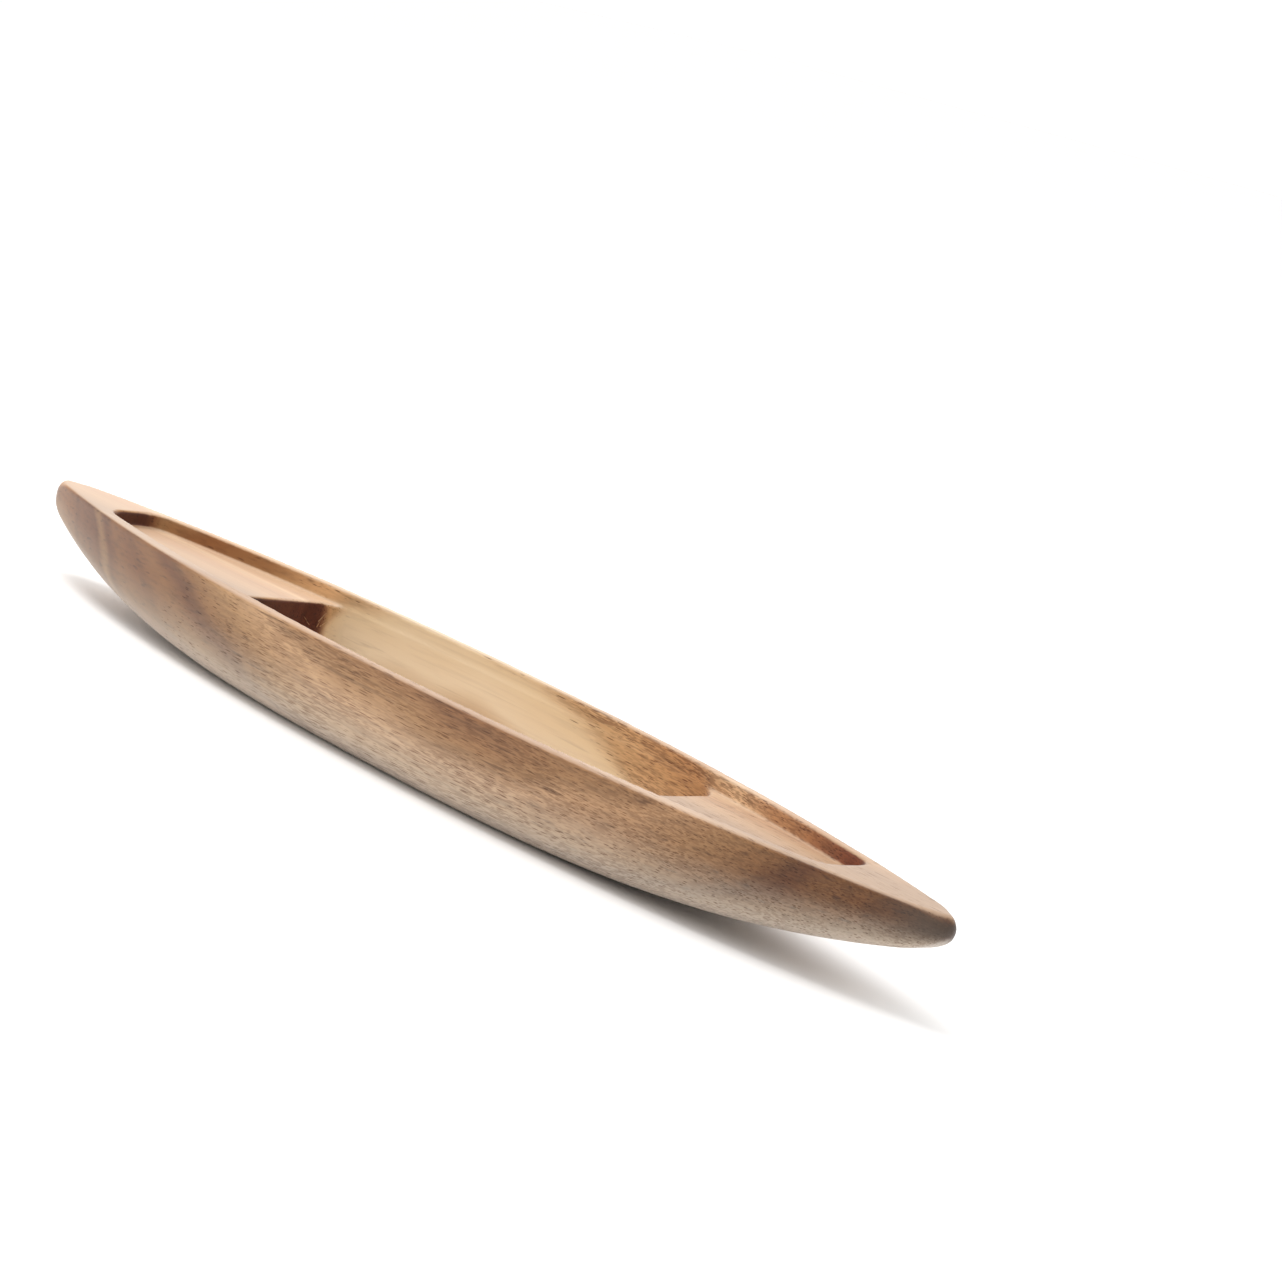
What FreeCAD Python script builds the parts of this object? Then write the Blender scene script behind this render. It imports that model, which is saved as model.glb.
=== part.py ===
"""Boat shuttle for hand weaving: one carved hardwood body with a stepped pocket for the weft quill.

The body lies along X with its flat base on Z = 0 and the middle of its length at X = 0.
All sizes are in millimetres.
"""

import math
import os

import FreeCAD
import Part

# Driving dimensions of the hull
LENGTH = 200.0
WIDTH = 30.2
HEIGHT = 14.3
HALF_LENGTH = LENGTH / 2
HALF_WIDTH = WIDTH / 2

# Plan of the hull: a lens whose sides would meet beyond the blunt tips
LENS_REACH = 104.4
LENS_POWER = 2.3
TIP_PLAN_RADIUS = 3.8

# Side view of the hull: the keel sweeps up from the flat base to shallow tips
TIP_DEPTH = 4.1
TIP_SIDE_RADIUS = 5.3
KEEL_POWER = 3.2
BASE_RELIEF = 0.25

# Cross section of the hull: upright sides and a rounded bilge, in proportion to the half width
BILGE_SHARE = 0.39

# The noses are cut off this far short of a full point, and take over from the lens this sharply
TIP_FLAT = 0.05
BLEND_POWER = 6.0
STATION_COUNT = 25

# Pocket: a shallow recess nearly as long as the body, with a deep well in its middle
RECESS_HALF_LENGTH = 80.6
RECESS_HALF_WIDTH = 13.3
RECESS_REACH = 99.2
RECESS_POWER = 2.1
RECESS_DEPTH = 2.45
RECESS_CORNER_RADIUS = 3.0
POCKET_OFFSET_Y = 0.4
WELL_LEFT_X = -42.0
WELL_RIGHT_X = 47.0
WELL_LEFT_BULGE = 0.3
WELL_RIGHT_BULGE = 1.2
WELL_CORNER_RADIUS = 3.8
WELL_FLOOR_THICKNESS = 3.0
WELL_FLOOR_FILLET = 3.0

# Room beyond the body for the cutting solids
CLEARANCE = 2.0
OUTLINE_POINTS = 9

NOSE_END = HALF_LENGTH + TIP_FLAT
SHELF_Z = HEIGHT - RECESS_DEPTH
WELL_HALF_CHORD = RECESS_HALF_WIDTH + CLEARANCE


def lens_half_width(x, half_width, reach, power):
    """Half width at x of a lens that is widest at x = 0 and closes at x = +-reach."""
    return half_width * (1.0 - abs(x / reach) ** power)


def soft_minimum(a, b):
    """The smaller of two positive lengths, with a smooth change from one to the other."""
    return (a ** -BLEND_POWER + b ** -BLEND_POWER) ** (-1.0 / BLEND_POWER)


def tip_limit(x, radius):
    """Half width or depth at x of the round nose of the given radius at each tip."""
    return math.sqrt(2.0 * radius * (NOSE_END - abs(x)))


def hull_half_width(x):
    """Half width of the hull at x, from the lens and its round tips."""
    lens = lens_half_width(x, HALF_WIDTH, LENS_REACH, LENS_POWER)
    return soft_minimum(lens, tip_limit(x, TIP_PLAN_RADIUS))


def hull_depth(x):
    """Depth of the keel under the rim at x, a little below the base in the middle."""
    rise = abs(x / HALF_LENGTH) ** KEEL_POWER
    keel = TIP_DEPTH + (HEIGHT + BASE_RELIEF - TIP_DEPTH) * (1.0 - rise)
    return soft_minimum(keel, tip_limit(x, TIP_SIDE_RADIUS))


def hull_section(x):
    """Closed cross section of the hull at x, left standing above the rim."""
    half = hull_half_width(x)
    depth = hull_depth(x)
    radius = BILGE_SHARE * min(half, depth)
    top = HEIGHT + CLEARANCE
    keel = HEIGHT - depth
    slant = radius * (1.0 - math.sqrt(0.5))

    def at(y, z):
        return FreeCAD.Vector(x, y, z)

    edges = [
        Part.LineSegment(at(-half, top), at(-half, keel + radius)),
        Part.Arc(at(-half, keel + radius), at(-half + slant, keel + slant), at(-half + radius, keel)),
        Part.LineSegment(at(-half + radius, keel), at(half - radius, keel)),
        Part.Arc(at(half - radius, keel), at(half - slant, keel + slant), at(half, keel + radius)),
        Part.LineSegment(at(half, keel + radius), at(half, top)),
        Part.LineSegment(at(half, top), at(-half, top)),
    ]
    return Part.Wire([edge.toShape() for edge in edges])


def box_between(low, high):
    """Box from its lowest and highest corners."""
    size = [b - a for a, b in zip(low, high)]
    return Part.makeBox(*size, FreeCAD.Vector(*low))


def make_hull():
    """Solid hull: sections lofted from tip to tip, then cut flat at the rim and the base."""
    end_angle = math.asin(HALF_LENGTH / NOSE_END)
    angles = [end_angle * (2.0 * i / (STATION_COUNT - 1) - 1.0) for i in range(STATION_COUNT)]
    stations = [NOSE_END * math.sin(angle) for angle in angles]
    loft = Part.makeLoft([hull_section(x) for x in stations], True, False)
    slab = box_between((-LENGTH, -WIDTH, 0.0), (LENGTH, WIDTH, HEIGHT))
    return loft.common(slab)


def recess_outline():
    """Plan of the recess: two bowed sides joined by straight ends, as a closed wire."""
    step = 2.0 * RECESS_HALF_LENGTH / (OUTLINE_POINTS - 1)
    stations = [-RECESS_HALF_LENGTH + step * i for i in range(OUTLINE_POINTS)]
    sides = []
    for sign in (-1.0, 1.0):
        points = []
        for x in stations:
            half = lens_half_width(x, RECESS_HALF_WIDTH, RECESS_REACH, RECESS_POWER)
            points.append(FreeCAD.Vector(x, POCKET_OFFSET_Y + sign * half, 0.0))
        curve = Part.BSplineCurve()
        curve.interpolate(points)
        sides.append((curve, points))
    near, far = sides
    left = Part.LineSegment(far[1][0], near[1][0])
    right = Part.LineSegment(near[1][-1], far[1][-1])
    return Part.Wire([near[0].toShape(), right.toShape(), far[0].toShape(), left.toShape()])


def upright_edges(shape, x_low, x_high):
    """Upright straight edges of a shape whose place along X is in the given span."""
    found = []
    for edge in shape.Edges:
        box = edge.BoundBox
        upright = box.XLength < 1e-3 and box.YLength < 1e-3 and box.ZLength > 1e-3
        if upright and x_low < box.XMin < x_high:
            found.append(edge)
    return found


def shelf_block(end_x, bulge, outer_x):
    """Solid left standing under one shelf: it ends at the well in a shallow arc."""
    near = FreeCAD.Vector(end_x, -WELL_HALF_CHORD, 0.0)
    far = FreeCAD.Vector(end_x, WELL_HALF_CHORD, 0.0)
    middle = FreeCAD.Vector(end_x + math.copysign(bulge, outer_x), 0.0, 0.0)
    outer_near = FreeCAD.Vector(outer_x, -WELL_HALF_CHORD, 0.0)
    outer_far = FreeCAD.Vector(outer_x, WELL_HALF_CHORD, 0.0)
    edges = [
        Part.Arc(near, middle, far),
        Part.LineSegment(far, outer_far),
        Part.LineSegment(outer_far, outer_near),
        Part.LineSegment(outer_near, near),
    ]
    outline = Part.Wire([edge.toShape() for edge in edges])
    return Part.Face(outline).extrude(FreeCAD.Vector(0, 0, SHELF_Z))


def make_pocket():
    """Solid of the air in the pocket: the recess with the well under its middle."""
    prism = Part.Face(recess_outline())
    prism.translate(FreeCAD.Vector(0, 0, WELL_FLOOR_THICKNESS))
    prism = prism.extrude(FreeCAD.Vector(0, 0, HEIGHT + CLEARANCE - WELL_FLOOR_THICKNESS))
    corners = upright_edges(prism, -LENGTH, LENGTH)
    prism = prism.makeFillet(RECESS_CORNER_RADIUS, corners)
    left = shelf_block(WELL_LEFT_X + WELL_LEFT_BULGE, WELL_LEFT_BULGE, -LENGTH)
    right = shelf_block(WELL_RIGHT_X - WELL_RIGHT_BULGE, WELL_RIGHT_BULGE, LENGTH)
    pocket = prism.cut(left).cut(right)
    corners = upright_edges(pocket, -RECESS_HALF_LENGTH / 1.5, RECESS_HALF_LENGTH / 1.5)
    pocket = pocket.makeFillet(WELL_CORNER_RADIUS, corners)
    floor = [e for e in pocket.Edges if e.BoundBox.ZMax < WELL_FLOOR_THICKNESS + 1e-3]
    return pocket.makeFillet(WELL_FLOOR_FILLET, floor)


def make_shuttle_body():
    """The whole shuttle: the hull with its pocket cut from the rim."""
    return make_hull().cut(make_pocket()).removeSplitter()


def main():
    """Write the body as a STEP file and report its size."""
    os.makedirs("parts", exist_ok=True)
    body = make_shuttle_body()
    body.exportStep("parts/shuttle_body.step")
    box = body.optimalBoundingBox()
    print("shuttle_body", len(body.Solids), "solid, valid", body.isValid())
    print("size", round(box.XLength, 2), round(box.YLength, 2), round(box.ZLength, 2))
    print("volume cm3", round(body.Volume / 1000.0, 2))


main()
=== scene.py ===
"""Looks for the hand-weaving boat shuttle: one carved hardwood body on a pale studio floor.

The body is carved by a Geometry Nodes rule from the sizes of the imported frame. Sizes inside the
trees are in millimetres, and every finished mesh is in metres, in the frame's own axes.
"""

from __future__ import annotations

import logging
import math
from dataclasses import dataclass, fields
from enum import Enum
from typing import Any, Union

import bpy
from mathutils import Matrix, Vector

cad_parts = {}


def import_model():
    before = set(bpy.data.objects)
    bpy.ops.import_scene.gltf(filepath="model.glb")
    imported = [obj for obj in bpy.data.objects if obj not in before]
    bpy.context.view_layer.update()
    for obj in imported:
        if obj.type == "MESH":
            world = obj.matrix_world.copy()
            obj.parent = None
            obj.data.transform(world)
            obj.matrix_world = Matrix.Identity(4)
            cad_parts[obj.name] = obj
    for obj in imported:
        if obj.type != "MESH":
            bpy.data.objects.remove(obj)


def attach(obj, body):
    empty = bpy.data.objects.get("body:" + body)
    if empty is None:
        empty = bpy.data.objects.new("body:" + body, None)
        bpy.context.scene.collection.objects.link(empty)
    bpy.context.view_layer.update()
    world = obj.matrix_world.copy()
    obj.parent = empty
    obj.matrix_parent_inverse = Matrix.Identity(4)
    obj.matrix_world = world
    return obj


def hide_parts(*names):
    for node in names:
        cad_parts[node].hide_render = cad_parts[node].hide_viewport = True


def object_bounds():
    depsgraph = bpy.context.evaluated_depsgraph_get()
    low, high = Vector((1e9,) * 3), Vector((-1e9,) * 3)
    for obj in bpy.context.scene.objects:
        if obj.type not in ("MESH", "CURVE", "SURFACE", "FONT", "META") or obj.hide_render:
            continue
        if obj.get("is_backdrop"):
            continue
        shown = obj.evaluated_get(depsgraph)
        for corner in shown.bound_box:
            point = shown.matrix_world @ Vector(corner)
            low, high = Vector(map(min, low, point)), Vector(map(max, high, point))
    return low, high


LOG = logging.getLogger("shuttle")
MM = 0.001
BODY = "root"
NODE = "shuttle_body"

NOSE_BLEND_LOSS = 0.13  # millimetres that the frame's blend into its round noses takes off its width

Socket = bpy.types.NodeSocket
Tree = bpy.types.NodeTree
Value = Union["Field", Socket, bpy.types.Material, float, int, tuple]


class Blend(Enum):
    """How one colour is laid over another."""

    COVER = "MIX"
    DARKEN = "MULTIPLY"
    GLOW = "SOFT_LIGHT"


def add_node(
    tree: Tree,
    kind: str,
    settings: dict[str, Any] | None = None,
    links: dict[str | int, Value] | None = None,
) -> bpy.types.Node:
    """Add a node with its settings, its input values and its links.

    Args:
        tree: The node tree that gets the node.
        kind: The node's type name.
        settings: Properties of the node, by name.
        links: Values or sockets for the node's inputs, by name or place.

    Returns:
        The new node.
    """
    node = tree.nodes.new(kind)
    for name, value in (settings or {}).items():
        setattr(node, name, value)
    for key, value in (links or {}).items():
        source = value.socket if isinstance(value, Field) else value
        if isinstance(source, Socket):
            tree.links.new(source, node.inputs[key])
        else:
            node.inputs[key].default_value = source
    return node


def linear(hex_colour: str) -> tuple[float, float, float, float]:
    """Turn an sRGB hex colour into linear red, green, blue and alpha.

    Args:
        hex_colour: The colour, as #rrggbb.

    Returns:
        The linear colour with alpha 1.
    """
    shares = [int(hex_colour[i : i + 2], 16) / 255 for i in (1, 3, 5)]
    red, green, blue = (s / 12.92 if s <= 0.04045 else ((s + 0.055) / 1.055) ** 2.4 for s in shares)
    return red, green, blue, 1.0


@dataclass(frozen=True)
class Field:
    """A number that varies over a shape, held as the output of a node, with ordinary arithmetic."""

    tree: Tree
    socket: Socket

    def step(self, operation: str, *values: Value, clamp: bool = False) -> Field:
        """Put the given values through one Math node.

        Args:
            operation: The Math node's operation.
            *values: Its inputs, in order.
            clamp: Whether the result is kept from 0 to 1.

        Returns:
            The node's result.
        """
        settings = {"operation": operation, "use_clamp": clamp}
        node = add_node(self.tree, "ShaderNodeMath", settings, dict(enumerate(values)))
        return Field(self.tree, node.outputs[0])

    def __add__(self, other: Value) -> Field:
        """Return self plus other."""
        return self.step("ADD", self, other)

    def __sub__(self, other: Value) -> Field:
        """Return self minus other."""
        return self.step("SUBTRACT", self, other)

    def __rsub__(self, other: Value) -> Field:
        """Return other minus self."""
        return self.step("SUBTRACT", other, self)

    def __mul__(self, other: Value) -> Field:
        """Return self times other."""
        return self.step("MULTIPLY", self, other)

    def __truediv__(self, other: Value) -> Field:
        """Return self over other."""
        return self.step("DIVIDE", self, other)

    def __rtruediv__(self, other: Value) -> Field:
        """Return other over self."""
        return self.step("DIVIDE", other, self)

    def __pow__(self, other: Value) -> Field:
        """Return self to the power other."""
        return self.step("POWER", self, other)

    def __neg__(self) -> Field:
        """Return minus self."""
        return self.step("MULTIPLY", self, -1.0)

    def __abs__(self) -> Field:
        """Return the size of self."""
        return self.step("ABSOLUTE", self)

    def at_least(self, other: Value) -> Field:
        """Return the larger of self and other."""
        return self.step("MAXIMUM", self, other)

    def at_most(self, other: Value) -> Field:
        """Return the smaller of self and other."""
        return self.step("MINIMUM", self, other)

    def fade(self, start: Value, end: Value) -> Field:
        """Rise smoothly from 0 to 1 as self goes from start to end.

        Args:
            start: Where the result leaves 0.
            end: Where the result reaches 1.

        Returns:
            The smooth step.
        """
        settings = {"interpolation_type": "SMOOTHSTEP"}
        links = {"Value": self, "From Min": start, "From Max": end}
        node = add_node(self.tree, "ShaderNodeMapRange", settings, links)
        return Field(self.tree, node.outputs["Result"])


@dataclass(frozen=True)
class Tone:
    """A colour to lay over the wood: how much of it at most, how, and the span that it comes in over."""

    hex_colour: str
    amount: float = 1.0
    blend: Blend = Blend.DARKEN
    span: tuple[float, float] = (0.0, 1.0)


@dataclass(frozen=True)
class Paint(Field):
    """A colour that varies over a shape, held as the output of a node."""

    def lay(self, tone: Tone, where: Field) -> Paint:
        """Lay a tone over this colour.

        Args:
            tone: The colour that goes on top.
            where: How much of it is there, from 0 to 1.

        Returns:
            The colour of the two together.
        """
        settings = {"data_type": "RGBA", "blend_type": tone.blend.value}
        links: dict[str | int, Value] = {0: where * tone.amount, 6: self, 7: linear(tone.hex_colour)}
        return Paint(self.tree, add_node(self.tree, "ShaderNodeMix", settings, links).outputs[2])


@dataclass(frozen=True)
class CarvingSizes:
    """Every size of the carved body, in millimetres unless the name says otherwise."""

    length: float
    width: float
    height: float
    lens_reach: float = 104.4
    lens_power: float = 2.3
    tip_plan_radius: float = 3.8
    tip_side_radius: float = 5.3
    tip_depth: float = 4.1
    tip_reach: float = 0.42
    tip_blend: float = 2.0
    keel_power: float = 3.2
    base_relief: float = 0.25
    bilge_share: float = 0.39
    rim_round: float = 0.5
    tip_rim_round: float = 2.2
    tip_soft_length: float = 5.6
    base_round: float = 0.3
    recess_half_length: float = 80.6
    recess_half_width: float = 13.3
    recess_reach: float = 99.2
    recess_power: float = 2.1
    recess_depth: float = 2.45
    recess_corner: float = 3.0
    shelf_fillet: float = 0.45
    pocket_offset: float = 0.4
    well_left: float = -42.0
    well_right: float = 47.0
    well_left_bow: float = 0.0018
    well_right_bow: float = 0.0072
    well_corner: float = 3.8
    well_floor: float = 3.0
    well_fillet: float = 3.0
    edge_round: float = 0.3
    hand_waver: float = 0.12
    waver_length: float = 14.0


def rounded_join_group() -> Tree:
    """Build the group that cuts one solid by another with a round edge between them.

    Returns:
        The group. Its inputs are two distances, negative inside, and the edge's radius.
    """
    tree = bpy.data.node_groups.new("rounded join", "GeometryNodeTree")
    for name in ("First", "Second", "Radius"):
        tree.interface.new_socket(name, in_out="INPUT", socket_type="NodeSocketFloat")
    tree.interface.new_socket("Distance", in_out="OUTPUT", socket_type="NodeSocketFloat")
    given = add_node(tree, "NodeGroupInput")
    first, second, radius = (Field(tree, given.outputs[i]) for i in range(3))
    past_first = (first + radius).at_least(0.0)
    past_second = (second + radius).at_least(0.0)
    corner = (past_first * past_first + past_second * past_second) ** 0.5
    inside = first.at_least(second).at_most(-radius)
    add_node(tree, "NodeGroupOutput", None, {0: corner + inside})
    return tree


@dataclass
class CarvingRule:
    """The rule that says how far any point is from the carved body's surface."""

    tree: Tree
    join_group: Tree
    size: dict[str, Field]
    x: Field
    y: Field
    z: Field

    def join(self, first: Field, second: Field, radius: Value) -> Field:
        """Keep what is inside both distances, with a round edge of the given radius."""
        links = {0: first, 1: second, 2: radius}
        node = add_node(self.tree, "GeometryNodeGroup", {"node_tree": self.join_group}, links)
        return Field(self.tree, node.outputs[0])

    def lens(self, half_width: Value, reach: Value, power: Value) -> Field:
        """Half width, at this X, of a lens that closes at the reach."""
        return (1.0 - (abs(self.x) / reach) ** power) * half_width

    def nose(self, across: Field, radius: Field) -> Field:
        """Distance from the round nose at either tip.

        Args:
            across: The distance from the nose's middle line.
            radius: The nose's radius.

        Returns:
            The distance, negative inside.
        """
        to_tip = self.size["length"] * 0.5 + self.size["tip_reach"] - abs(self.x)
        level = across * across - radius * to_tip * 2.0
        slope = (across * across + radius * radius) ** 0.5
        return level / (slope * 2.0)

    def hull(self) -> Field:
        """Find the distance from the outside of the hull, its rim and its flat base.

        Returns:
            The distance, negative inside.
        """
        s = self.size
        half_width = self.lens(s["width"] * 0.5, s["lens_reach"], s["lens_power"])
        sides = abs(self.y) - half_width
        plan = self.join(sides, self.nose(self.y, s["tip_plan_radius"]), s["tip_blend"])
        rise = (abs(self.x) / (s["length"] * 0.5)) ** s["keel_power"]
        full_depth = s["height"] + s["base_relief"]
        depth = s["tip_depth"] + (full_depth - s["tip_depth"]) * (1.0 - rise)
        under_rim = s["height"] - self.z
        keel = under_rim - depth
        below = self.join(keel, self.nose(under_rim, s["tip_side_radius"]), s["tip_blend"])
        bilge = half_width.at_most(depth).at_least(0.5) * s["bilge_share"]
        shell = self.join(plan, below, bilge)
        at_tip = abs(self.x).fade(s["length"] * 0.5 - s["tip_soft_length"], s["length"] * 0.5)
        rim_edge = at_tip * (s["tip_rim_round"] - s["rim_round"]) + s["rim_round"]
        shell = self.join(shell, -under_rim, rim_edge)
        return self.join(shell, -self.z, s["base_round"])

    def pocket(self) -> Field:
        """Find the distance from the air of the pocket: the long recess and the well under it.

        Returns:
            The distance, negative in the air.
        """
        s = self.size
        half_width = self.lens(s["recess_half_width"], s["recess_reach"], s["recess_power"])
        across = self.y - s["pocket_offset"]
        sides = abs(across) - half_width
        ends = abs(self.x) - s["recess_half_length"]
        shelf = s["height"] - s["recess_depth"] - self.z
        recess = self.join(self.join(sides, ends, s["recess_corner"]), shelf, s["shelf_fillet"])
        bow = across * across
        left = s["well_left"] + bow * s["well_left_bow"] - self.x
        right = self.x - (s["well_right"] - bow * s["well_right_bow"])
        plan = self.join(sides, left.at_least(right), s["well_corner"])
        well = self.join(plan, s["well_floor"] - self.z, s["well_fillet"])
        return -self.join(-recess, -well, s["edge_round"])

    def body(self) -> Field:
        """Distance from the finished body: the hull with the pocket cut out of it."""
        return self.join(self.hull(), -self.pocket(), self.size["edge_round"])


def distance_group() -> Tree:
    """Build the group that gives the distance of a point from the body's surface.

    Returns:
        The group. Its inputs are the point and every carving size, by name.
    """
    tree = bpy.data.node_groups.new("distance from shuttle", "GeometryNodeTree")
    tree.interface.new_socket("Point", in_out="INPUT", socket_type="NodeSocketVector")
    names = [item.name for item in fields(CarvingSizes)]
    for name in names:
        tree.interface.new_socket(name, in_out="INPUT", socket_type="NodeSocketFloat")
    tree.interface.new_socket("Distance", in_out="OUTPUT", socket_type="NodeSocketFloat")
    given = add_node(tree, "NodeGroupInput")
    size = {name: Field(tree, given.outputs[name]) for name in names}
    split = add_node(tree, "ShaderNodeSeparateXYZ", None, {0: given.outputs["Point"]})
    x, y, z = (Field(tree, output) for output in split.outputs)
    rule = CarvingRule(tree, rounded_join_group(), size, x, y, z)
    waver = add_node(
        tree,
        "ShaderNodeTexNoise",
        {"noise_dimensions": "3D"},
        {"Vector": given.outputs["Point"], "Scale": 1.0 / size["waver_length"], "Detail": 1.0},
    )
    unevenness = (Field(tree, waver.outputs[0]) - 0.5) * size["hand_waver"]
    add_node(tree, "NodeGroupOutput", None, {0: rule.body() + unevenness})
    return tree


@dataclass
class ShuttleBody:
    """The one carved piece of the shuttle, with its hull, recess, shelves and well."""

    sizes: CarvingSizes
    voxel: tuple[float, float, float] = (0.75, 0.32, 0.32)
    margin: float = 2.0
    probe: float = 0.02
    least_slope: float = 0.2
    passes: int = 2

    def point_distance(self, tree: Tree, group: Tree, given: bpy.types.Node, point: Socket) -> Field:
        """Distance from the body at a point of the main tree.

        Args:
            tree: The main tree.
            group: The distance group.
            given: The main tree's group input node.
            point: The socket of the point.

        Returns:
            The distance, negative inside.
        """
        links = {item.name: given.outputs[item.name] for item in fields(CarvingSizes)}
        links["Point"] = point
        node = add_node(tree, "GeometryNodeGroup", {"node_tree": group}, links)
        return Field(tree, node.outputs[0])

    def carve(self, tree: Tree, group: Tree, given: bpy.types.Node) -> Socket:
        """Fill a block with the distance and take its zero surface.

        Args:
            tree: The main tree.
            group: The distance group.
            given: The main tree's group input node.

        Returns:
            The socket of the rough mesh.
        """
        half = [self.sizes.length / 2 + self.margin, self.sizes.width / 2 + self.margin]
        low = (-half[0], -half[1], -self.margin)
        high = (half[0], half[1], self.sizes.height + self.margin)
        here = add_node(tree, "GeometryNodeInputPosition")
        density = -self.point_distance(tree, group, given, here.outputs[0])
        links: dict[str | int, Value] = {"Density": density, "Background": -self.margin}
        links |= {"Min": low, "Max": high}
        for axis, a, b, step in zip("XYZ", low, high, self.voxel):
            links[f"Resolution {axis}"] = round((b - a) / step)
        block = add_node(tree, "GeometryNodeVolumeCube", None, links)
        links = {"Volume": block.outputs[0], "Threshold": 0.0, "Adaptivity": 0.0}
        return add_node(tree, "GeometryNodeVolumeToMesh", None, links).outputs[0]

    def true_up(self, tree: Tree, group: Tree, given: bpy.types.Node, mesh: Socket) -> Socket:
        """Move each point down the slope of the distance, on to the exact surface.

        Args:
            tree: The main tree.
            group: The distance group.
            given: The main tree's group input node.
            mesh: The socket of the rough mesh.

        Returns:
            The socket of the trued mesh.
        """
        here = add_node(tree, "GeometryNodeInputPosition").outputs[0]
        level = self.point_distance(tree, group, given, here)
        slopes = []
        for axis in range(3):
            offset = [0.0, 0.0, 0.0]
            offset[axis] = self.probe
            links: dict[str | int, Value] = {0: here, 1: tuple(offset)}
            beside = add_node(tree, "ShaderNodeVectorMath", {"operation": "ADD"}, links).outputs[0]
            slopes.append((self.point_distance(tree, group, given, beside) - level) / self.probe)
        steepness = slopes[0] * slopes[0] + slopes[1] * slopes[1] + slopes[2] * slopes[2]
        step = -(level / steepness.at_least(self.least_slope))
        links = dict(enumerate(slope * step for slope in slopes))
        move = add_node(tree, "ShaderNodeCombineXYZ", None, links)
        links = {"Geometry": mesh, "Offset": move.outputs[0]}
        return add_node(tree, "GeometryNodeSetPosition", None, links).outputs[0]

    def rule_tree(self, material: bpy.types.Material) -> Tree:
        """Build the tree that carves the body, with a named input for each size.

        Args:
            material: The finish of the whole body.

        Returns:
            The tree.
        """
        tree = bpy.data.node_groups.new("carved shuttle body", "GeometryNodeTree")
        for item in fields(CarvingSizes):
            tree.interface.new_socket(item.name, in_out="INPUT", socket_type="NodeSocketFloat")
        tree.interface.new_socket("Geometry", in_out="OUTPUT", socket_type="NodeSocketGeometry")
        given = add_node(tree, "NodeGroupInput")
        group = distance_group()
        mesh = self.carve(tree, group, given)
        for _ in range(self.passes):
            mesh = self.true_up(tree, group, given, mesh)
        links = {"Geometry": mesh, "Scale": (MM, MM, MM)}
        mesh = add_node(tree, "GeometryNodeTransform", None, links).outputs[0]
        mesh = add_node(tree, "GeometryNodeSetShadeSmooth", None, {0: mesh}).outputs[0]
        mesh = add_node(tree, "GeometryNodeRealizeInstances", None, {0: mesh}).outputs[0]
        links = {"Geometry": mesh, "Material": material}
        mesh = add_node(tree, "GeometryNodeSetMaterial", None, links).outputs[0]
        add_node(tree, "NodeGroupOutput", None, {0: mesh})
        return tree

    def build(self, material: bpy.types.Material) -> bpy.types.Object:
        """Carve the body and hand it to the frame.

        Args:
            material: The finish of the whole body.

        Returns:
            The finished piece.
        """
        tree = self.rule_tree(material)
        values = {item.name: getattr(self.sizes, item.name) for item in fields(CarvingSizes)}
        piece = mesh_from_tree("carved_body", tree, values)
        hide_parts(NODE)
        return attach(piece, BODY)


def mesh_from_tree(name: str, tree: Tree, values: dict[str, float]) -> bpy.types.Object:
    """Run a Geometry Nodes tree once and keep its result as a plain mesh.

    Args:
        name: The new object's name.
        tree: The tree to run.
        values: The tree's inputs, by name.

    Returns:
        An object at the origin that holds the finished mesh and no modifier.
    """
    carrier = bpy.data.objects.new(name, bpy.data.meshes.new(name))
    bpy.context.scene.collection.objects.link(carrier)
    modifier = carrier.modifiers.new("rule", "NODES")
    modifier.node_group = tree
    sockets = {item.name: item.identifier for item in tree.interface.items_tree}
    for key, value in values.items():
        modifier[sockets[key]] = value
    evaluated = carrier.evaluated_get(bpy.context.evaluated_depsgraph_get())
    mesh = bpy.data.meshes.new_from_object(evaluated)
    mesh.name = name
    carrier.modifiers.remove(modifier)
    carrier.data = mesh
    return carrier


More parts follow.
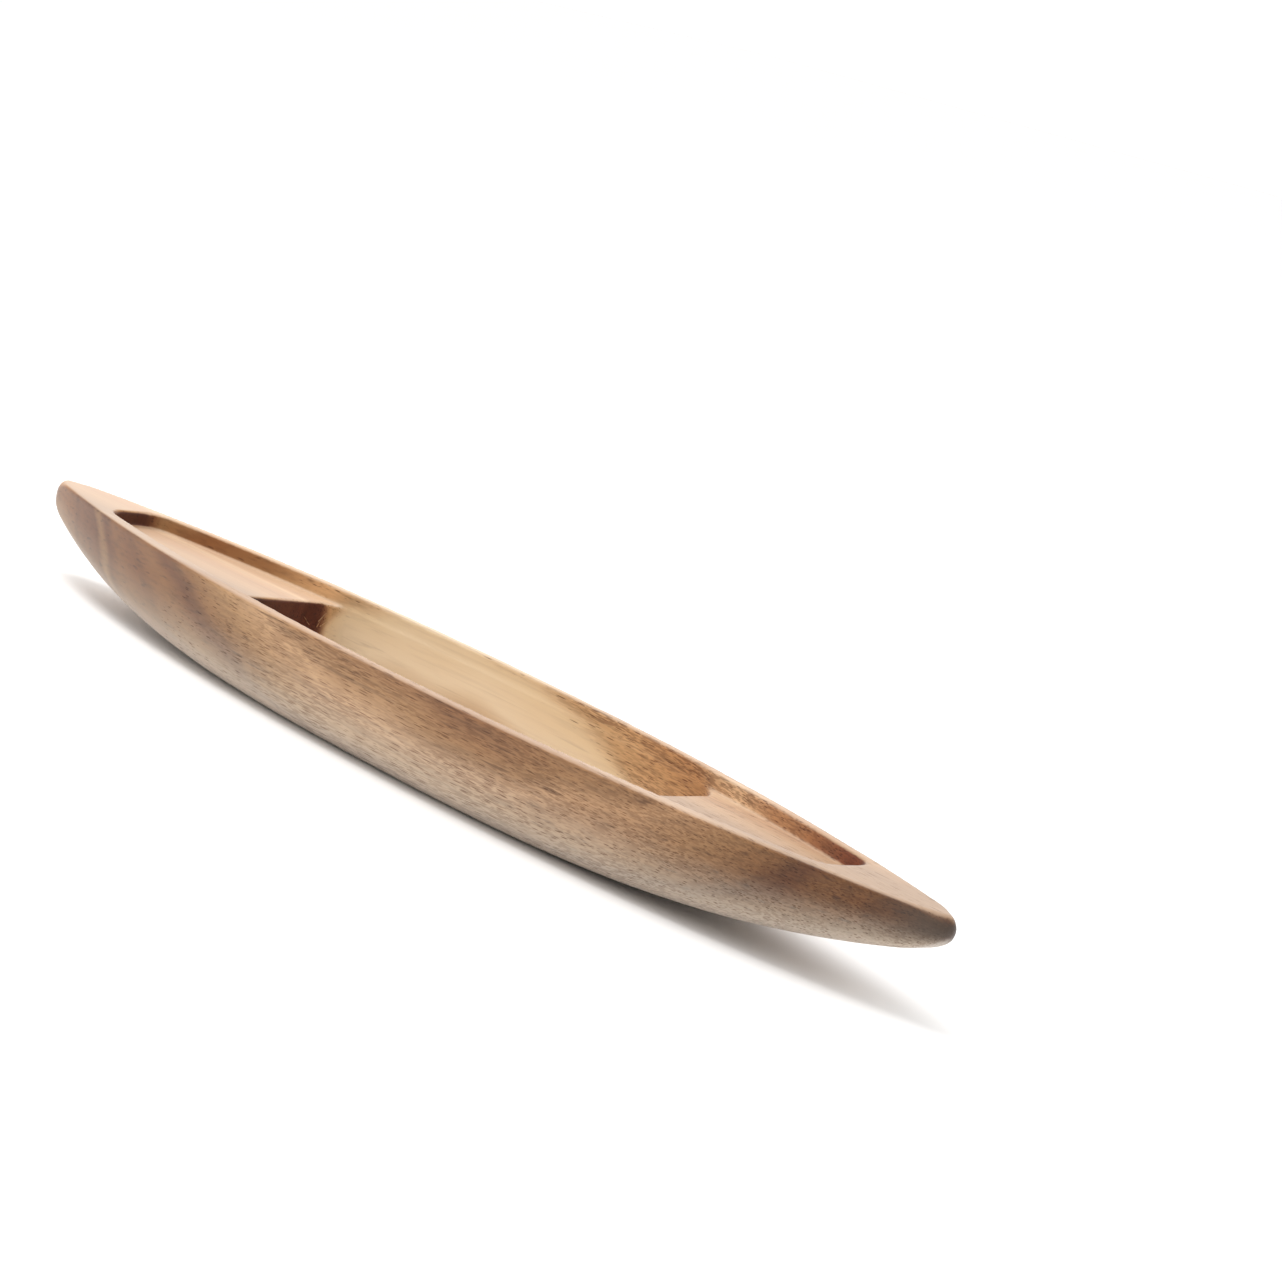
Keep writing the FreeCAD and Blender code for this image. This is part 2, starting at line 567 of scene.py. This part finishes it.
@dataclass(frozen=True)
class WoodSpot:
    """A point on the wood: its place in millimetres and the way its face looks."""

    tree: Tree
    place: Socket
    x: Field
    y: Field
    z: Field
    face_x: Field
    face_z: Field

    @classmethod
    def on(cls, tree: Tree) -> WoodSpot:
        """Read the point that a material's tree is shading.

        Args:
            tree: The material's tree.

        Returns:
            The point.
        """
        given = add_node(tree, "ShaderNodeTexCoord")
        links: dict[str | int, Value] = {0: given.outputs["Object"], 1: (1.0 / MM,) * 3}
        place = add_node(tree, "ShaderNodeVectorMath", {"operation": "MULTIPLY"}, links).outputs[0]
        split = add_node(tree, "ShaderNodeSeparateXYZ", None, {0: place})
        facing = add_node(tree, "ShaderNodeSeparateXYZ", None, {0: given.outputs["Normal"]})
        x, y, z = (Field(tree, output) for output in split.outputs)
        face_x, _, face_z = (Field(tree, output) for output in facing.outputs)
        return cls(tree, place, x, y, z, face_x, face_z)

    def cloud(self, grain: tuple[float, ...], detail: float, place: Socket | None = None) -> Field:
        """Make soft random values.

        Args:
            grain: How large their blots are along X, Y and Z, in millimetres.
            detail: How many finer layers of blots they have.
            place: The place that they depend on, if not this point's own.

        Returns:
            The values, mostly from 0.25 to 0.75.
        """
        links: dict[str | int, Value] = {0: place or self.place, 1: grain}
        scaled = add_node(self.tree, "ShaderNodeVectorMath", {"operation": "DIVIDE"}, links)
        links = {"Vector": scaled.outputs[0], "Scale": 1.0, "Detail": detail}
        return Field(self.tree, add_node(self.tree, "ShaderNodeTexNoise", None, links).outputs[0])


@dataclass(frozen=True)
class Zones:
    """Where a point of the body lies, each as a share from 0 to 1, and its layer's depth."""

    layer: Field
    heart: Field
    pale: Field
    upward: Field
    near_side: Field
    pocket_wall: Field
    far_outside: Field
    rise: Field


@dataclass(frozen=True)
class Vessels:
    """One size of cut vessel: spacing in millimetres, half width as a share of that, and how many."""

    spacing: tuple[float, float, float]
    half_width: float
    plenty: float
    core_share: float = 0.45
    lot_blur: float = 0.12

    def mark(self, spot: WoodSpot, share: Field) -> Field:
        """Mark the cut vessels of this size.

        Args:
            spot: The point on the wood.
            share: How much of the vessels is there, from 0 to 1.

        Returns:
            1 in a vessel and 0 outside.
        """
        links: dict[str | int, Value] = {0: spot.place, 1: self.spacing}
        scaled = add_node(spot.tree, "ShaderNodeVectorMath", {"operation": "DIVIDE"}, links)
        links = {"Vector": scaled.outputs[0], "Scale": 1.0}
        net = add_node(spot.tree, "ShaderNodeTexVoronoi", None, links)
        lot = add_node(spot.tree, "ShaderNodeSeparateXYZ", None, {0: net.outputs["Color"]})
        there = (share * self.plenty - Field(spot.tree, lot.outputs[0])).fade(0.0, self.lot_blur)
        off_middle = Field(spot.tree, net.outputs["Distance"])
        core = self.half_width * self.core_share
        return (1.0 - off_middle.fade(core, self.half_width)) * there


@dataclass(frozen=True)
class BareHardwood:
    """Open-pored tropical hardwood, carved, sanded along the grain and left without a finish.

    The growth layers lie almost flat against the near side. Each layer has its own tan or brown,
    its cut vessels show as short dark dashes along the grain, and end grain is much darker. The
    bare sanded surface gives a satin, slightly milky sheen on faces seen at a low angle. Vessels
    are 0.15 to 0.2 mm wide and cut 1 to 3 mm long, as in woods of this kind.
    """

    # Some light and shade is painted into the colour: shade towards the right end, under the near rim, on
    # ends that face +X, deep in the well and on the right tip; bounce light on the low side and
    # underside; and a pale sheen on the tops.
    shape: CarvingSizes
    # The stack of growth layers: a depth in millimetres and the colour there, from near to far.
    layers: tuple[tuple[float, str], ...] = (
        (-20.0, "#8c6344"),
        (-18.9, "#a27c5b"),
        (-18.0, "#a98665"),
        (-17.2, "#c6a485"),
        (-15.8, "#ad8a66"),
        (-14.6, "#916c48"),
        (-13.7, "#724b2e"),
        (-12.8, "#896440"),
        (-10.6, "#7b5533"),
        (-9.4, "#86613e"),
        (-8.2, "#6a4529"),
        (-7.6, "#94775a"),
        (-7.0, "#6d482c"),
        (-5.0, "#7b573a"),
        (-1.0, "#b58b60"),
        (1.2, "#b07c52"),
        (3.1, "#c69468"),
        (4.7, "#ecc79c"),
        (6.2, "#cc9562"),
        (8.4, "#dcae7c"),
        (9.3, "#e0b685"),
        (10.2, "#f6dcb4"),
        (12.0, "#ffebcb"),
        (13.2, "#d0aa80"),
        (14.5, "#b08a64"),
    )
    layer_tilt: float = 0.28
    layer_skew: float = 0.04
    layer_waver: float = 1.1
    layer_bend: tuple[float, float, float] = (24.0, 9.0, 7.0)
    heart_edge: tuple[float, float] = (-6.0, 0.0)
    near_edge: tuple[float, float] = (-3.0, 0.5)
    far_edge: tuple[float, float] = (-2.0, 3.0)
    pale_edge: tuple[float, float] = (8.8, 10.6)

    # How far a face leans, as the Z of its normal: flat on top, the far rim's rounding, a wall.
    flat_face: tuple[float, float] = (0.6, 1.0)
    rim_face: tuple[float, float] = (0.15, 0.75)
    wall_face: tuple[float, float] = (0.2, 0.7)
    open_face: tuple[float, float] = (0.3, 0.9)

    # Fine streaks and long dark strands along the grain, and bands that follow the layers.
    streak_grain: tuple[float, float, float] = (26.0, 0.55, 0.55)
    band_grain: tuple[float, float, float] = (0.9, 1.0, 1.0)
    strand_grain: tuple[float, float, float] = (70.0, 0.6, 0.6)
    light_streak: Tone = Tone("#ffe9cf", 0.5, Blend.GLOW)
    dark_streak: Tone = Tone("#4a2d1a", 1.1)
    dark_band: Tone = Tone("#7c5638", 1.2)
    dark_strand: Tone = Tone("#6d4a30", 0.5, span=(0.24, 0.36))

    # Slow changes of colour over the body. The near side darkens towards the right end, partly the
    # wood's browner tone and partly painted shade. The pocket walls are darker and greyer towards the
    # left end and darker and redder towards the right. The far outside and the top of the near rim are
    # darker. The tops get an even tan and a pale painted sheen. The near side is warmer towards the left
    # end and darker under the rim, partly painted shade and partly redder wood. The low side and the
    # underside get a pale grey cover that is painted bounce light from the floor.
    right_shade_and_brown: Tone = Tone("#b08a74", 0.45, span=(0.0, 95.0))
    left_recess_wall: Tone = Tone("#b6a694", span=(42.0, 58.0))
    right_recess_wall: Tone = Tone("#b4705a", span=(62.0, 78.0))
    far_outside: Tone = Tone("#ae9074", span=(-1.1, -0.3))
    flat_grain: Tone = Tone("#b79573", 0.6, Blend.COVER)
    top_painted_sheen: Tone = Tone("#eadfd4", 0.14, Blend.COVER, span=(20.0, 80.0))
    near_rim: Tone = Tone("#dac09d", 0.6, span=(10.5, 12.5))
    warmer_left: Tone = Tone("#f6e9d6", span=(35.0, 65.0))
    shade_and_red_under_rim: Tone = Tone("#f9eed6", span=(0.15, 0.9))
    low_side_bounce_light: Tone = Tone("#d8ccb8", 0.52, Blend.COVER, span=(-85.0, -30.0))
    underside_bounce_light: Tone = Tone("#e2d3c6", 0.35, Blend.COVER)

    # Open vessels, the furrows between them, and where on the body they show.
    vessel: Tone = Tone("#846350", 0.85)
    long_vessels: Vessels = Vessels((4.2, 0.26, 0.26), 0.37, 1.15)
    short_vessels: Vessels = Vessels((1.9, 0.2, 0.2), 0.4, 1.3)
    furrow_grain: tuple[float, float, float] = (2.8, 0.24, 0.24)
    furrow_edge: tuple[float, float] = (0.42, 0.56)
    vessel_patch: tuple[float, float, float] = (16.0, 3.5, 3.5)
    patch_edge: tuple[float, float] = (0.3, 0.62)
    vessel_start: tuple[float, float] = (-64.0, -8.0)
    core_edge: tuple[float, float] = (8.6, 10.6)
    core_floor: tuple[float, float] = (2.2, 2.8)

    # End grain, which is darker because its open vessels swallow light, with painted shade on ends
    # that face +X and deep in the well, and painted shade on the right tip.
    end_grain_and_shade: Tone = Tone("#a5807a", span=(0.7, 1.0))
    end_layer: tuple[float, float] = (2.2, 4.6)
    beyond_recess: tuple[float, float] = (3.4, 11.4)
    right_tip_shade: Tone = Tone("#4d4138", 0.85, Blend.COVER, span=(88.0, 99.0))

    roughness: float = 0.44
    vessel_roughness: float = 0.25
    ior: float = 1.42
    fuzz: float = 0.2
    fuzz_roughness: float = 0.35
    bump_depth: float = 0.05
    bump_strength: float = 0.5
    vessel_depth: float = 0.9
    streak_height: float = 0.25

    def build(self) -> bpy.types.Material:
        """Build the finish.

        Returns:
            The material.
        """
        material = bpy.data.materials.new("bare open-pored hardwood, sanded along the grain")
        material.use_nodes = True
        tree = material.node_tree
        tree.nodes.clear()
        spot = WoodSpot.on(tree)
        zones = self.zones(spot)
        streak = spot.cloud(self.streak_grain, 3.0)
        vessels = self.vessels(spot, zones)
        colour = self.grained(spot, zones, streak)
        colour = self.toned(spot, zones, colour)
        colour = self.paint_side_light(spot, zones, colour)
        on_far = zones.layer.fade(*self.far_edge)
        colour = colour.lay(self.vessel, vessels * (on_far * 0.18 + 0.82))
        colour = self.darken_ends_and_tip(spot, zones, colour)

        height = 1.0 - vessels * self.vessel_depth + streak * self.streak_height
        links: dict[str | int, Value] = {"Height": height, "Strength": self.bump_strength}
        links["Distance"] = self.bump_depth * MM
        bump = add_node(tree, "ShaderNodeBump", None, links)
        links = {"Base Color": colour, "Normal": bump.outputs[0], "IOR": self.ior}
        links["Roughness"] = vessels * self.vessel_roughness + self.roughness
        links |= {"Sheen Weight": self.fuzz, "Sheen Roughness": self.fuzz_roughness}
        surface = add_node(tree, "ShaderNodeBsdfPrincipled", None, links)
        add_node(tree, "ShaderNodeOutputMaterial", None, {0: surface.outputs[0]})
        return material

    def zones(self, spot: WoodSpot) -> Zones:
        """Work out which parts of the body a point belongs to.

        Args:
            spot: The point on the wood.

        Returns:
            Its zones.
        """
        s = self.shape
        bend = (spot.cloud(self.layer_bend, 1.0) - 0.5) * (2.0 * self.layer_waver)
        layer = spot.y - spot.z * self.layer_tilt - spot.x * self.layer_skew + bend
        heart = 1.0 - layer.fade(*self.heart_edge)
        far_rim = spot.face_z.fade(*self.rim_face) * spot.y.fade(0.0, 3.0)
        upward = spot.face_z.fade(*self.flat_face).at_least(far_rim)
        hull_side = (1.0 - (abs(spot.x) / s.lens_reach) ** s.lens_power) * (s.width / 2)
        keel_rise = s.height + s.base_relief - s.tip_depth
        keel = (abs(spot.x) / (s.length / 2)) ** s.keel_power * keel_rise
        return Zones(
            layer=layer,
            heart=heart,
            pale=layer.fade(*self.pale_edge),
            upward=upward,
            near_side=(1.0 - layer.fade(*self.near_edge)) * (1.0 - upward),
            pocket_wall=(1.0 - spot.face_z.fade(*self.wall_face)) * (1.0 - heart),
            far_outside=(spot.y - hull_side).fade(*self.far_outside.span),
            rise=(spot.z - keel) / (s.height - keel),
        )

    def grained(self, spot: WoodSpot, zones: Zones, streak: Field) -> Paint:
        """Colour each growth layer, with the streaks, bands and strands that run along it.

        Args:
            spot: The point on the wood.
            zones: Its zones.
            streak: Soft random values drawn out along the grain.

        Returns:
            The colour.
        """
        low, high = self.layers[0][0], self.layers[-1][0]
        ramp = add_node(spot.tree, "ShaderNodeValToRGB", None, {0: (zones.layer - low) / (high - low)})
        stops = ramp.color_ramp.elements
        while len(stops) < len(self.layers):
            stops.new(0.5)
        for stop, (depth, hex_colour) in zip(stops, self.layers):
            stop.position = (depth - low) / (high - low)
            stop.color = linear(hex_colour)
        colour = Paint(spot.tree, ramp.outputs[0])
        colour = colour.lay(self.light_streak, (streak - 0.5).at_least(0.0))
        colour = colour.lay(self.dark_streak, (0.5 - streak).at_least(0.0) * (1.0 - zones.pale * 0.68))
        depth_only = add_node(spot.tree, "ShaderNodeCombineXYZ", None, {0: zones.layer}).outputs[0]
        band = spot.cloud(self.band_grain, 2.0, depth_only)
        colour = colour.lay(self.dark_band, (0.5 - band).at_least(0.0) * (1.0 - zones.pale * 0.83))
        strand = 1.0 - spot.cloud(self.strand_grain, 1.0).fade(*self.dark_strand.span)
        return colour.lay(self.dark_strand, strand * (1.0 - zones.pale * 0.7))

    def toned(self, spot: WoodSpot, zones: Zones, colour: Paint) -> Paint:
        """Lay on the slow changes of colour from end to end, with painted shade towards the right,
        and the flat-cut grain and a painted sheen of the top.

        Args:
            spot: The point on the wood.
            zones: Its zones.
            colour: The colour so far.

        Returns:
            The new colour.
        """
        right, left = spot.x, -spot.x
        # Partly painted shade: the near layers get darker towards the right end, where less light falls,
        # and partly the wood's browner tone there.
        colour = colour.lay(self.right_shade_and_brown, right.fade(*self.right_shade_and_brown.span) * zones.heart)
        on_left = left.fade(*self.left_recess_wall.span)
        colour = colour.lay(self.left_recess_wall, on_left * zones.pocket_wall)
        on_right = right.fade(*self.right_recess_wall.span)
        colour = colour.lay(self.right_recess_wall, on_right * zones.pocket_wall)
        colour = colour.lay(self.far_outside, zones.far_outside)
        colour = colour.lay(self.flat_grain, zones.upward)
        # Painted sheen: a pale cover on the upward faces, weaker towards the right end.
        top_sheen_share = 1.0 - right.fade(*self.top_painted_sheen.span) * 0.57
        colour = colour.lay(self.top_painted_sheen, zones.upward * top_sheen_share)
        return colour.lay(self.near_rim, zones.upward * (-spot.y).fade(*self.near_rim.span))

    def paint_side_light(self, spot: WoodSpot, zones: Zones, colour: Paint) -> Paint:
        """Warm the near side, darken it under the rim partly as painted shade, and paint bounce light low
        down.

        Args:
            spot: The point on the wood.
            zones: Its zones.
            colour: The colour so far.

        Returns:
            The new colour.
        """
        on_left = (-spot.x).fade(*self.warmer_left.span)
        colour = colour.lay(self.warmer_left, zones.near_side * on_left)
        # Partly painted shade: the near side darker and warmer high up under the rim, and partly the
        # redder wood there.
        high_up = zones.rise.fade(*self.shade_and_red_under_rim.span)
        colour = colour.lay(self.shade_and_red_under_rim, zones.near_side * high_up)
        # Painted bounce light from the white floor: a pale grey cover on the low side, weaker towards the
        # left end, and on faces that point down.
        low_down = 1.0 - zones.rise.fade(0.0, 0.7)
        colour = colour.lay(self.low_side_bounce_light, low_down * (spot.x.fade(*self.low_side_bounce_light.span) * 0.58 + 0.42))
        return colour.lay(self.underside_bounce_light, (-spot.face_z).fade(*self.underside_bounce_light.span))

    def vessels(self, spot: WoodSpot, zones: Zones) -> Field:
        """Mark all cut vessels: dense on the sides, rare in the pale layer, the left end and the top.

        Args:
            spot: The point on the wood.
            zones: Its zones.

        Returns:
            1 in a vessel and 0 outside.
        """
        patch = spot.cloud(self.vessel_patch, 2.0).fade(*self.patch_edge)
        pale_core = zones.layer.fade(*self.core_edge) * (1.0 - zones.far_outside)
        pale_core = pale_core * spot.z.fade(*self.core_floor)
        share = spot.x.fade(*self.vessel_start) * (1.0 - pale_core) * (patch * 0.6 + 0.4)
        share = share * (1.0 - spot.face_z.fade(*self.open_face) * 0.7)
        long_ones = self.long_vessels.mark(spot, share)
        short_ones = self.short_vessels.mark(spot, share)
        fibres = spot.cloud(self.furrow_grain, 1.5)
        on_far = zones.layer.fade(*self.far_edge)
        furrows = (1.0 - fibres.fade(*self.furrow_edge)) * share * (on_far * 0.2 + 0.5)
        return long_ones.at_least(short_ones * 0.6).at_least(furrows)

    def darken_ends_and_tip(self, spot: WoodSpot, zones: Zones, colour: Paint) -> Paint:
        """Darken the end grain of the pocket's cut ends, with painted shade on ends that face +X and deep
        in the well, and paint shade on the right tip.

        Args:
            spot: The point on the wood.
            zones: Its zones.
            colour: The colour so far.

        Returns:
            The new colour.
        """
        inside = 1.0 - (abs(spot.x) - self.shape.recess_half_length).fade(*self.beyond_recess)
        # Painted shade with the end grain: faces that turn to +X, away from the light, get all of the
        # darkening and faces that turn to -X only part of it.
        facing_left = (-spot.face_x).fade(*self.open_face) * (inside * 0.4 + 0.25)
        end_dark_share = spot.face_x.fade(*self.end_grain_and_shade.span) + facing_left
        colour = colour.lay(self.end_grain_and_shade, end_dark_share)
        # Painted shade: the cut ends darken again deeper in the pocket, below the shelf.
        shelf = self.shape.height - self.shape.recess_depth
        below_shelf = 1.0 - (spot.z - shelf).fade(-0.65, 0.15) * 0.9
        well_depth_shade = inside * below_shelf * (zones.layer.fade(*self.end_layer) * 0.6 + 0.7)
        colour = colour.lay(self.end_grain_and_shade, end_dark_share * well_depth_shade)
        # Painted shade on the right tip, which turns away from the light.
        upright = 1.0 - spot.face_z.fade(*self.open_face)
        tip_shade_share = spot.x.fade(*self.right_tip_shade.span) * upright * zones.rise.fade(0.0, 0.45)
        return colour.lay(self.right_tip_shade, tip_shade_share)


@dataclass
class TornFibres:
    """The few pale wood fibres left standing where the chisel stopped at the well's left end."""

    count: int = 4
    length: float = 1.9
    thickness: float = 0.07
    middle: tuple[float, float, float] = (-41.4, 8.8, 8.7)
    spread: tuple[float, float, float] = (0.5, 0.9, 0.7)
    least_turn: tuple[float, float, float] = (-0.5, 0.2, -0.6)
    most_turn: tuple[float, float, float] = (0.7, 1.2, 0.6)
    sides: int = 6
    point_radius: float = 0.02
    seed: int = 4

    def build(self, material: bpy.types.Material) -> bpy.types.Object:
        """Scatter the fibres and hand them to the frame.

        Args:
            material: The finish of the wood.

        Returns:
            The finished piece.
        """
        tree = bpy.data.node_groups.new("torn fibres", "GeometryNodeTree")
        tree.interface.new_socket("length", in_out="INPUT", socket_type="NodeSocketFloat")
        tree.interface.new_socket("thickness", in_out="INPUT", socket_type="NodeSocketFloat")
        tree.interface.new_socket("Geometry", in_out="OUTPUT", socket_type="NodeSocketGeometry")
        given = add_node(tree, "NodeGroupInput")
        links: dict[str | int, Value] = {"Count": self.count, "Offset": (0.0, 0.0, 0.0)}
        line = add_node(tree, "GeometryNodeMeshLine", None, links)
        low = tuple(m - s for m, s in zip(self.middle, self.spread))
        high = tuple(m + s for m, s in zip(self.middle, self.spread))
        settings = {"data_type": "FLOAT_VECTOR"}
        place = add_node(tree, "FunctionNodeRandomValue", settings, {0: low, 1: high, "Seed": self.seed})
        links = {0: line.outputs[0], 2: place.outputs[0]}
        points = add_node(tree, "GeometryNodeSetPosition", None, links)
        links = {"Vertices": self.sides, "Depth": given.outputs[0]}
        links |= {"Radius Bottom": given.outputs[1], "Radius Top": self.point_radius}
        fibre = add_node(tree, "GeometryNodeMeshCone", None, links)
        links = {0: self.least_turn, 1: self.most_turn, "Seed": self.seed + 1}
        turn = add_node(tree, "FunctionNodeRandomValue", settings, links)
        links = {"Points": points.outputs[0], "Instance": fibre.outputs[0], "Rotation": turn.outputs[0]}
        fibres = add_node(tree, "GeometryNodeInstanceOnPoints", None, links).outputs[0]
        fibres = add_node(tree, "GeometryNodeRealizeInstances", None, {0: fibres}).outputs[0]
        links = {0: fibres, "Scale": (MM, MM, MM)}
        fibres = add_node(tree, "GeometryNodeTransform", None, links).outputs[0]
        links = {"Geometry": fibres, "Material": material}
        fibres = add_node(tree, "GeometryNodeSetMaterial", None, links).outputs[0]
        add_node(tree, "NodeGroupOutput", None, {0: fibres})
        values = {"length": self.length, "thickness": self.thickness}
        piece = mesh_from_tree("torn_fibres", tree, values)
        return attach(piece, BODY)


@dataclass(frozen=True)
class WhitePaper:
    """Matt white background paper, which gives an even white ground with soft shadows."""

    colour: str = "#f0efee"
    roughness: float = 0.95

    def build(self) -> bpy.types.Material:
        """Build the finish.

        Returns:
            The material.
        """
        material = bpy.data.materials.new("matt white background paper")
        material.use_nodes = True
        tree = material.node_tree
        tree.nodes.clear()
        links = {"Base Color": linear(self.colour), "Roughness": self.roughness}
        surface = add_node(tree, "ShaderNodeBsdfPrincipled", None, links)
        add_node(tree, "ShaderNodeOutputMaterial", None, {0: surface.outputs[0]})
        return material


@dataclass
class Studio:
    """A plain white floor, a white room and one soft lamp above and behind the left end."""

    floor_size: float = 8.0
    front_light: float = 0.5
    back_light: float = 1.35
    bright_side: tuple[float, float, float] = (-0.56, 0.66, 0.5)
    light_turn: tuple[float, float] = (-0.6, 0.5)
    lamp_size: float = 0.5
    lamp_power: float = 5.0
    lamp_place: tuple[float, float, float] = (-0.3, -0.1, 0.85)

    def build(self) -> bpy.types.Object:
        """Build the floor and the lights.

        Returns:
            The floor.
        """
        scene = bpy.context.scene
        scene.view_settings.view_transform = "Standard"
        mesh = bpy.data.meshes.new("floor")
        half = self.floor_size / 2
        corners = [(-half, -half, 0), (half, -half, 0), (half, half, 0), (-half, half, 0)]
        mesh.from_pydata(corners, [], [(0, 1, 2, 3)])
        mesh.materials.append(WhitePaper().build())
        floor = bpy.data.objects.new("floor", mesh)
        scene.collection.objects.link(floor)
        floor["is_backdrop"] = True
        world = bpy.data.worlds.new("white room")
        world.use_nodes = True
        world.node_tree.nodes.clear()
        tree = world.node_tree
        way = add_node(tree, "ShaderNodeTexCoord").outputs["Generated"]
        settings = {"operation": "DOT_PRODUCT"}
        towards = add_node(tree, "ShaderNodeVectorMath", settings, {0: way, 1: self.bright_side})
        share = Field(tree, towards.outputs["Value"]).fade(*self.light_turn)
        strength = share * (self.back_light - self.front_light) + self.front_light
        links: dict[str | int, Value] = {"Color": (1.0,) * 4, "Strength": strength}
        light = add_node(tree, "ShaderNodeBackground", None, links)
        add_node(tree, "ShaderNodeOutputWorld", None, {0: light.outputs[0]})
        scene.world = world
        lamp = bpy.data.objects.new("soft lamp", bpy.data.lights.new("soft lamp", "AREA"))
        lamp.data.size = self.lamp_size
        lamp.data.energy = self.lamp_power
        place = Vector(self.lamp_place)
        lamp.matrix_world = Matrix.Translation(place) @ place.to_track_quat("Z", "Y").to_matrix().to_4x4()
        scene.collection.objects.link(lamp)
        return floor


@dataclass
class Camera:
    """The camera, low over the near side and turned so that the shuttle lies aslant."""

    azimuth: float = 45.0
    elevation: float = 10.434
    roll: float = 14.373
    distance: float = 485.608
    target: tuple[float, float, float] = (35.432, 0.0, 29.499)
    lens: float = 102.377
    sensor: float = 36.0

    def build(self) -> bpy.types.Object:
        """Set up the camera.

        Returns:
            The camera.
        """
        angles = (self.azimuth, self.elevation, self.roll)
        azimuth, elevation, roll = (math.radians(angle) for angle in angles)
        level = math.cos(elevation)
        back = Vector((math.sin(azimuth) * level, -math.cos(azimuth) * level, math.sin(elevation)))
        across = Vector((0.0, 0.0, 1.0)).cross(back).normalized()
        up = back.cross(across)
        turned_across = across * math.cos(roll) + up * math.sin(roll)
        turned_up = up * math.cos(roll) - across * math.sin(roll)
        turn = Matrix((turned_across, turned_up, back)).transposed().to_4x4()
        place = (Vector(self.target) + back * self.distance) * MM
        camera = bpy.data.objects.new("camera", bpy.data.cameras.new("camera"))
        camera.data.lens = self.lens
        camera.data.sensor_width = self.sensor
        camera.matrix_world = Matrix.Translation(place) @ turn
        bpy.context.scene.collection.objects.link(camera)
        bpy.context.scene.camera = camera
        return camera


def main() -> None:
    """Build every sub-assembly in order and report it."""
    logging.basicConfig(level=logging.INFO, format="%(message)s")
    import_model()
    low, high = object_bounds()
    length, width, height = (high - low) / MM
    Studio().build()
    Camera().build()
    sizes = CarvingSizes(length=length, width=width + NOSE_BLEND_LOSS, height=height)
    wood = BareHardwood(sizes).build()
    for part in (ShuttleBody(sizes), TornFibres()):
        piece = part.build(wood)
        LOG.info("%s: %d faces", piece.name, len(piece.data.polygons))


if __name__ == "__main__":
    main()
